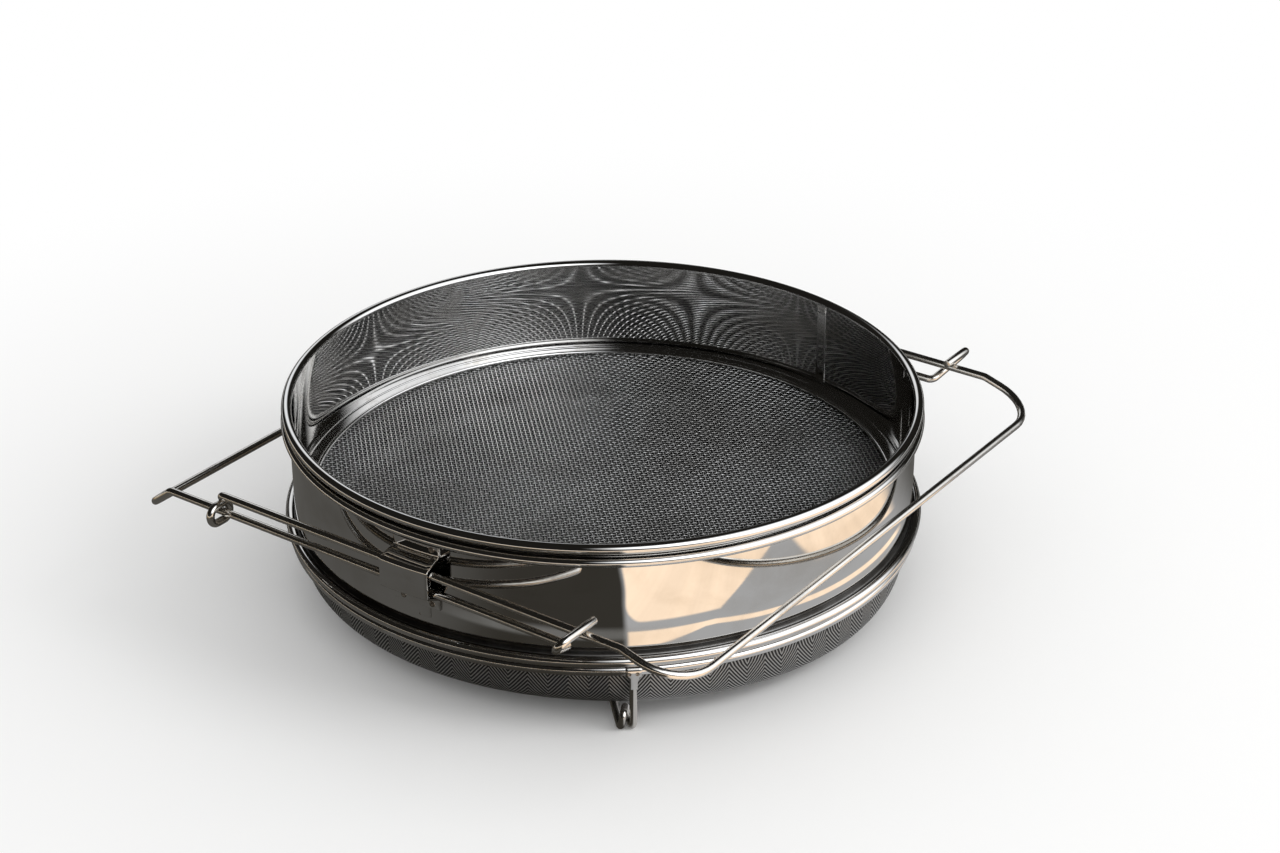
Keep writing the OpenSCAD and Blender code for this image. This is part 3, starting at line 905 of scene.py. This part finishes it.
class STRAINER_OT_fine_cloth(BuildOperator):
    """Dish the fine cloth into its bowl"""
    bl_idname = "strainer.fine_cloth"
    bl_label = "Fine cloth"

    def build(self, p):
        c = p.c
        t, bowl_r = c.fine_t, bowl_edge(p)
        edge_r = p.hoop_r - c.hoop_d / 2 + BOWL_TUCK
        outside = [Vector((edge_r, p.hoop_z - t / 2)), Vector((bowl_r, p.hoop_z - t / 2))]
        outside += bowl_side(p, bowl_r, c.bowl_depth)
        inside = bowl_side(p, bowl_r - t, c.bowl_depth - t)[::-1]
        inside += [Vector((bowl_r - t, p.hoop_z + t / 2)), Vector((edge_r, p.hoop_z + t / 2))]
        bm = revolve(outside + inside, steps=BOWL_TURNS)
        flat = bm.loops.layers.uv.new("flat")
        floor = self.unroll(bm, flat, outside, bowl_r)
        self.sag(p, bm, bowl_r, c.bowl_depth)
        for face in floor:
            for loop in face.loops:
                loop[flat].uv = loop.vert.co.xy
        piece(bm, "fine_cloth_bowl", OUTER, material(fine_twill), ["fine_mesh"])

    def unroll(self, bm, flat, side, bowl_r):
        """Gives the side's points their place on the cloth, round the bowl and down it; returns the floor."""
        run, floor = [0.0], []
        for a, b in zip(side, side[1:]):
            run.append(run[-1] + (b - a).length)
        for face in bm.faces:
            middle = face.calc_center_median()
            ahead = math.atan2(middle.y, middle.x)
            if middle.xy.length < FLOOR_SHARE * bowl_r:
                floor.append(face)
                continue
            for loop in face.loops:
                spot = loop.vert.co
                here = Vector((spot.xy.length, spot.z))
                nearest = min(range(len(side)), key=lambda i: (side[i] - here).length)
                turn = math.remainder(math.atan2(spot.y, spot.x) - ahead, FULL_TURN)
                loop[flat].uv = ((ahead + turn) * bowl_r, run[nearest])
        return floor

    def sag(self, p, bm, bowl_r, depth):
        """Makes the bowl squarer over the bearings where it sags."""
        c = p.c
        for vert in bm.verts:
            r, drop = vert.co.xy.length, p.hoop_z - vert.co.z
            if drop < c.fine_t or r < TOUCH:
                continue
            inside = (r / bowl_r) ** c.bowl_power + (drop / depth) ** c.bowl_power < ON_BOWL
            full_r, full_drop = (bowl_r - c.fine_t, depth - c.fine_t) if inside else (bowl_r, depth)
            off = math.remainder(math.atan2(vert.co.y, vert.co.x) - c.sag_turn, FULL_TURN) / c.sag_half
            power = c.bowl_power + c.sag * math.exp(-off ** 2)
            part = math.acos(min(r / full_r, 1.0) ** (c.bowl_power / 2))
            reach = full_r * math.cos(part) ** (2 / power) / r
            fall = full_drop * math.sin(part) ** (2 / power)
            vert.co = (vert.co.x * reach, vert.co.y * reach, p.hoop_z - fall)


# Distance from the middle and height of a weld's crater, as shares of its radius
WELD_SHAPE = [(0.0, 0.05), (0.45, 0.06), (0.75, 0.16), (0.95, 0.13), (1.05, -0.05)]
CLIP_WELD, STRAP_WELD, STRAP_WELD_DROP = 1.15 * MM, 0.75 * MM, 0.4 * MM
CLIP_WELD_LOW, CLIP_WELD_HIGH = 1.9 * MM, 1.8 * MM
CLIP_EDGE, STRAP_EDGE, WIRE_EDGE = 0.12 * MM, 0.1 * MM, 0.25 * MM
CLIP_STEPS, STRAP_STEPS = 14, 6


def weld_marks(name, face, r, spots):
    """Spot welds on a face at this distance from the axis, from their bearings and heights."""
    welds = bmesh.new()
    for bearing, z in spots:
        weld = spun([(h * r, s * r, 0) for s, h in WELD_SHAPE], (1, 0, 0), FULL_TURN, steps=14)
        place = Matrix.Rotation(bearing, 4, "Z") @ Matrix.Translation((face, 0, z))
        bmesh.ops.transform(weld, matrix=place, verts=weld.verts)
        add_mesh(welds, weld)
    piece(welds, name + "_welds", OUTER, material(weld_mark))


class STRAINER_OT_clips(BuildOperator):
    """Fold the two arm clips and spot-weld them to the wall"""
    bl_idname = "strainer.clips"
    bl_label = "Arm clips"

    def build(self, p):
        section = clip_section(p)
        heights = [z for _, z in section]
        low, high = min(heights) + CLIP_WELD_LOW, max(heights) - CLIP_WELD_HIGH
        shares = ((0.72, high), (-0.62, low), (0.66, low))
        for name, side in (("front_clip", -math.pi / 2), ("rear_clip", math.pi / 2)):
            bearing = p.a.clip_turn + side
            bm = revolve(section, bearing - p.clip_half, 2 * p.clip_half, CLIP_STEPS)
            soften(bm, CLIP_EDGE)
            piece(bm, name + "_sheet", OUTER, material(polished_sheet), [name])
            spots = [(bearing + share * p.clip_half, z) for share, z in shares]
            weld_marks(name, p.outer_r + p.a.clip_t, CLIP_WELD, spots)


def touch_at(p, c, r, level):
    """Where the line from p that passes a circle round c on its right meets a level."""
    gap = Vector(c) - Vector(p)
    bearing = math.atan2(gap.y, gap.x) + math.asin(r / gap.length)
    return p[0] + (level - p[1]) / math.tan(bearing)


class STRAINER_OT_arms(BuildOperator):
    """Bend the two sliding arms with their hooks"""
    bl_idname = "strainer.arms"
    bl_label = "Arms"

    def build(self, p):
        a = p.a
        right = self.side(p, p.right_w, p.right_z, a.right_nose, a.right_slope, a.hook_x) + self.right_hook(p)
        bends = [a.right_corner, a.slope_bend, a.hook_bend, p.hook_r, p.hook_r, p.hook_r]
        self.arm(p, "right_arm", RIGHT, right, bends, 1)
        run = a.hook_x - a.hook_lean
        left = self.side(p, p.left_w, p.left_z, a.left_nose, a.left_slope, run) + self.left_hook(p)
        self.arm(p, "left_arm", LEFT, left, [a.left_corner, a.slope_bend, a.hook_bend, p.hook_r], -1)

    def side(self, p, w, z, nose, slope, run):
        """Points of an arm's near side, from its end edge to the start of its hook."""
        low = z - nose * math.tan(slope)
        return [(p.end_x, -w, low), (p.end_x - nose, -w, z), (-run, -w, z)]

    def right_hook(self, p):
        """Down behind the left arm's wire, under it, and back over it."""
        x, low, high = -p.a.hook_x, p.left_z - p.hook_r, p.left_z + p.hook_r
        under = touch_at((-p.right_w, p.right_z), (-p.left_w, p.left_z), p.hook_r, low)
        outside, tip = -p.left_w - p.a.right_reach - p.hook_r, -p.left_w + p.a.right_tip
        return [(x, under, low), (x, outside, low), (x, outside, high), (x, tip, high)]

    def left_hook(self, p):
        """Leaning along the right arm's wire, up outside it, and back over it."""
        x, high = -p.a.hook_x, p.right_z + p.hook_r
        climb = math.hypot(p.a.hook_lean, high - p.left_z)
        bulge = (-p.right_w - p.a.left_reach, climb - p.hook_r)
        over = touch_at((-p.left_w, 0.0), bulge, p.hook_r, climb)
        return [(x, over, high), (x, -p.right_w + p.a.left_tip, high)]

    def arm(self, p, name, body, near, bends, way):
        """The whole wire, from the points and bends of its near side."""
        near = [(way * x, y, z) for x, y, z in near]
        far = [(x, -y, z) for x, y, z in near[::-1]]
        bm = bent_wire(far + near, bends[::-1] + bends, p.a.arm_d)
        soften(bm, WIRE_EDGE, least_turn=60)
        piece(bm, name + "_wire", body, material(drawn_wire), [name])


class STRAINER_OT_feet(BuildOperator):
    """Coil the feet and fold their straps"""
    bl_idname = "strainer.feet"
    bl_label = "Feet and straps"

    def build(self, p):
        half = p.f.strap_w / 2 / p.hoop_r
        for i, side in enumerate(("front", "right", "left")):
            bearing = p.f.foot_turn + i * FULL_TURN / 3
            foot = self.foot(p)
            bmesh.ops.rotate(foot, verts=foot.verts, cent=(0, 0, 0), matrix=Matrix.Rotation(bearing, 3, "Z"))
            piece(foot, f"foot_{side}_wire", OUTER, material(drawn_wire), [f"foot_{side}"])
            strap = revolve(strap_section(p), bearing - half, 2 * half, STRAP_STEPS)
            self.narrow(p, strap, bearing)
            soften(strap, STRAP_EDGE)
            piece(strap, f"strap_{side}_sheet", OUTER, material(polished_sheet), [f"strap_{side}"])
            face = p.hoop_r + p.c.hoop_d / 2 + TOUCH + p.f.strap_t
            spots = [(bearing + share * half, p.hoop_z - STRAP_WELD_DROP) for share in (-0.55, 0.5)]
            weld_marks(f"strap_{side}", face, STRAP_WELD, spots)

    def narrow(self, p, strap, bearing):
        """Draws a strap's tongue in to about the width of the leg."""
        hoop_low = p.hoop_z - p.c.hoop_d / 2
        for vert in strap.verts:
            if vert.co.z < hoop_low + SHOULDER / 2:
                off = math.remainder(math.atan2(vert.co.y, vert.co.x) - bearing, FULL_TURN)
                turn = Matrix.Rotation(-off * (1 - p.f.foot_d / p.f.strap_w), 3, "Z")
                bmesh.ops.rotate(strap, verts=[vert], cent=(0, 0, 0), matrix=turn)

    def foot(self, p):
        """One foot on the +X side: leg, one turn of coil, and a strand that runs in."""
        f = p.f
        step = f.coil_pitch / 4
        in_r = p.leg_r - 2 * f.coil_r - step
        coil_z = p.floor_z + 2 * f.coil_r + step
        points = [
            (p.leg_r, 0, f.foot_h - TOUCH),
            (p.leg_r, 0, p.floor_z),
            (in_r, -step, p.floor_z),
            (in_r, -2 * step, coil_z),
            (p.leg_r, -3 * step, coil_z),
            (p.leg_r, -4 * step, p.floor_z),
            (p.leg_r - f.strand_l, -5 * step, p.floor_z),
        ]
        bm = bent_wire(points, [f.coil_r] * (len(points) - 2), f.foot_d, sides=14)
        cut_at_floor(bm)
        close_ends(bm)
        return bm


class STRAINER_OT_core_wires(BuildOperator):
    """Finish the core wires inside the rolled edges"""
    bl_idname = "strainer.core_wires"
    bl_label = "Core wires"

    def build(self, p):
        for name in ("upper_rim_wire", "outer_rim_wire", "base_wire", "hem_wire"):
            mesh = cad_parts[name].data
            mesh.materials.clear()
            mesh.materials.append(material(drawn_wire))


# Stage

FLOOR_R = 6.0
FLOOR_NEAR, FLOOR_FAR = 0.16, 0.45
FLOOR_WHITE = (0.93, 0.93, 0.925)
CAMERA_AT = (0.5056, -0.6869, 0.4991)
CAMERA_AHEAD = (-0.5147, 0.7236, -0.4601)
LENS = 71.47
SENSOR = 36.0
WORLD_LEVEL = 0.88
KEY_AT, KEY_SIZE, KEY_POWER = (1.15, 0.45, 0.95), 0.7, 6
WHITE = (1.0, 1.0, 1.0)

# The tent and the table are seen only in the metal, as flags and cards are in a studio
TENT_R = 2.2
TENT_DARK = (0.016, 0.015, 0.013)
WINDOW_LIGHT = (2.8, 2.85, 2.93)
# Each window: where it is, the angles at which it is open and shut, and how much of the light it lets in
WINDOWS = [
    ((0.82, 0.28, 0.44), 28, 48, 0.6),
    ((0.73, -0.33, 0.60), 10, 30, 0.85),
    ((-0.70, 0.58, 0.42), 5, 18, 0.4),
]
TABLE_R = 0.8
TABLE_LIFT = 0.0002
# Glowing colours of the card: painted sunlight brighter than white, then painted shadow and shade in greys,
# dark and gold
TABLE_WARM = (1.62, 1.27, 0.95)
TABLE_SHADE = (0.56, 0.56, 0.565)
TABLE_GOLD = (0.50, 0.38, 0.23)
TABLE_DARK = (0.048, 0.044, 0.037)
TABLE_PALE = (0.21, 0.208, 0.20)
TABLE_LEFT = (0.110, 0.106, 0.098)
# Painted sunlit shapes, and bands of tone that are mostly painted shade, on the table: bearings in degrees,
# distances from the sieve's axis in metres
TABLE_SOFT = 0.001
SUN_SIDE, SUN_SIDE_ROUND = -43.5, 5
SUN_NEAR, SUN_NEAR_ROUND = 0.198, 0.013
SUN_EDGE, SUN_TURN, SUN_SLOPE = 0.186, -25, 0.00193
SUN_END = (34, 42)
NEXT_EDGE, NEXT_TURN, NEXT_SLOPE = 0.1895, 8, -0.0006
NEXT_SIDE, NEXT_LEAN, NEXT_START = 0.214, 220, -1
SLIVER_TOP, SLIVER_TURN, SLIVER_SLOPE = 0.1795, -27, -0.00041
SLIVER_DEEP, SLIVER_WIDENS, SLIVER_GROWTH = 0.0035, -30, 0.0006
SLIVER_START = (-49, -48)
PALE_START, PALE_END = (0.173, 0.176), (0.179, 0.184)
LEFT_END = (-100, -75)
GOLD_START = (0.34, 0.40)
SHADE_START, SHADE_END = (-50, -48), (30, 60)


def seen_white(f):
    """1 for the rays that show the background: seen directly, mirrored, or through glass."""
    path = f.add("ShaderNodeLightPath")
    return (path["Is Camera Ray"] + path["Is Glossy Ray"] + path["Is Transmission Ray"]).least(1.0)


def pale_floor(f):
    """Pale floor that keeps the shadow near the part and turns white further out."""
    _, x, y, _ = f.place()
    away = (x * x + y * y) ** 0.5
    plain = f.add("ShaderNodeBsdfDiffuse", None, {"Color": FLOOR_WHITE})[0]
    return f.end(f.blend(away.between(FLOOR_NEAR, FLOOR_FAR) * seen_white(f), plain, f.glow(WHITE)))


def studio(f):
    """Even studio light, with the white background where it is seen."""
    lit = f.add("ShaderNodeBackground", None, {"Color": WHITE, "Strength": WORLD_LEVEL})[0]
    white = f.add("ShaderNodeBackground", None, {"Color": WHITE, "Strength": 1.0})[0]
    return f.end(f.blend(seen_white(f), lit, white))


def dark_tent(f):
    """Dark tent with soft-edged bright windows."""
    at, *_ = f.place()
    light = 0.0
    for place, open_turn, shut_turn, share in WINDOWS:
        ahead = Vector(place).normalized()
        facing = f.add("ShaderNodeVectorMath", {"operation": "DOT_PRODUCT"}, {0: at, 1: ahead})[1] / TENT_R
        dark, bright = (math.cos(math.radians(turn)) for turn in (shut_turn, open_turn))
        light = light + facing.between(dark, bright) * share
    return f.end(f.glow(f.mix(light, TENT_DARK, WINDOW_LIGHT)))


def table_card(f):
    """Glowing card of a table top that the walls mirror: dark with painted shade to the left, warm with
    painted sunlight to the right, with painted shadow on it.
    """
    at, x, y, _ = f.place()
    away = (x * x + y * y) ** 0.5
    bearing = y.bearing(x) * (180 / math.pi) + f.noise(at, 14.0, 2.0) * 4 - 2
    grain = f.noise(f.vector(x * 5, y * 60, 0.0), 1.0, 3.0, 0.6)
    corner = ((SUN_SIDE - bearing) / SUN_SIDE_ROUND).most(0.0) ** 2
    corner = corner + ((SUN_NEAR - away) / SUN_NEAR_ROUND).most(0.0) ** 2
    edge = SUN_EDGE + (bearing - SUN_TURN).most(0.0) * SUN_SLOPE
    patch = (1 - corner.between(0.8, 1.2)) * away.past(edge, TABLE_SOFT)
    edge = NEXT_EDGE + (bearing - NEXT_TURN) * NEXT_SLOPE
    side = NEXT_START + (NEXT_SIDE - away) * NEXT_LEAN
    second = away.past(edge, TABLE_SOFT) * bearing.past(side, 1.0)
    top = SLIVER_TOP + (bearing - SLIVER_TURN).most(0.0) * SLIVER_SLOPE
    deep = SLIVER_DEEP + (SLIVER_WIDENS - bearing).most(0.0) * SLIVER_GROWTH
    sliver = (1 - away.past(top, TABLE_SOFT / 2)) * away.past(top - deep, TABLE_SOFT / 2)
    sliver = sliver * bearing.between(*SLIVER_START)
    sunny = patch.most(second).most(sliver) * (1 - bearing.between(*SUN_END))
    pale = away.between(*PALE_START) * (1 - away.between(*PALE_END))
    tone = f.mix(bearing.between(*LEFT_END), TABLE_LEFT, f.mix(pale, TABLE_DARK, TABLE_PALE))
    tone = f.mix(away.between(*GOLD_START), tone, TABLE_GOLD)
    tone = f.mix(bearing.between(*SHADE_START), tone, TABLE_SHADE)
    tone = f.mix(bearing.between(*SHADE_END), tone, TABLE_LEFT)
    warm = f.mix(grain.between(0.3, 0.7), TABLE_WARM, tuple(0.9 * c for c in TABLE_WARM))
    return f.end(f.glow(f.mix(sunny, tone, warm)))


def only_mirrored(obj):
    """Leaves a piece of the stage to be seen in the metal alone."""
    obj.visible_camera = obj.visible_diffuse = obj.visible_transmission = False
    obj.visible_shadow = obj.visible_volume_scatter = False


class STRAINER_OT_stage(BuildOperator):
    """Set up the floor, the lights and the camera"""
    bl_idname = "strainer.stage"
    bl_label = "Stage"

    def build(self, p):
        scene = bpy.context.scene
        floor, table, tent = bmesh.new(), bmesh.new(), bmesh.new()
        bmesh.ops.create_circle(floor, cap_ends=True, radius=FLOOR_R, segments=64)
        staged(floor, "floor", material(pale_floor))
        lift = Matrix.Translation((0, 0, TABLE_LIFT))
        bmesh.ops.create_circle(table, cap_ends=True, radius=TABLE_R, segments=64, matrix=lift)
        only_mirrored(staged(table, "table_card", material(table_card)))
        bmesh.ops.create_uvsphere(tent, u_segments=64, v_segments=32, radius=TENT_R)
        cut_at_floor(tent)
        only_mirrored(staged(tent, "tent", material(dark_tent)))
        scene.world = studio(Finish(bpy.data.worlds.new("studio")))
        self.lamp(scene)
        self.camera(scene)
        scene.view_settings.view_transform = "Standard"

    def lamp(self, scene):
        """A soft square lamp that faces the part; the metal mirrors the tent's windows in its place."""
        data = bpy.data.lights.new("key", "AREA")
        data.size, data.energy = KEY_SIZE, KEY_POWER
        obj = bpy.data.objects.new("key", data)
        obj.location = KEY_AT
        obj.rotation_euler = (-Vector(KEY_AT)).to_track_quat("-Z", "Y").to_euler()
        obj.visible_glossy = False
        scene.collection.objects.link(obj)

    def camera(self, scene):
        """The photo's view, along the sight line through its middle."""
        data = bpy.data.cameras.new("photo_view")
        data.lens, data.sensor_width = LENS, SENSOR
        obj = bpy.data.objects.new("photo_view", data)
        back = -Vector(CAMERA_AHEAD).normalized()
        right = Vector((0, 0, 1)).cross(back).normalized()
        axes = Matrix((right, back.cross(right), back)).transposed()
        obj.matrix_world = Matrix.Translation(CAMERA_AT) @ axes.to_4x4()
        scene.collection.objects.link(obj)
        scene.camera = obj


# The operators, in the order in which they are written and run
PIECES = BuildOperator.__subclasses__()


class STRAINER_PT_sidebar(bpy.types.Panel):
    """Lists the strainer's pieces and settings"""
    bl_idname = "STRAINER_PT_sidebar"
    bl_label = "Strainer"
    bl_space_type = "VIEW_3D"
    bl_region_type = "UI"
    bl_category = "Strainer"

    def draw(self, context):
        for operator in PIECES:
            self.layout.operator(operator.bl_idname)
        for name, group in SETTINGS.items():
            box = self.layout.box()
            box.label(text=group.__doc__)
            for key in group.__annotations__:
                box.prop(getattr(context.scene, name), key)


CLASSES = [*SETTINGS.values(), *PIECES, STRAINER_PT_sidebar]


def register():
    for cls in CLASSES:
        bpy.utils.register_class(cls)
    for name, group in SETTINGS.items():
        setattr(bpy.types.Scene, name, bpy.props.PointerProperty(type=group))


def unregister():
    for name in SETTINGS:
        delattr(bpy.types.Scene, name)
    for cls in reversed(CLASSES):
        bpy.utils.unregister_class(cls)


def main():
    register()
    for operator in PIECES:
        group, name = operator.bl_idname.split(".")
        getattr(getattr(bpy.ops, group), name)()


if __name__ == "__main__":
    main()
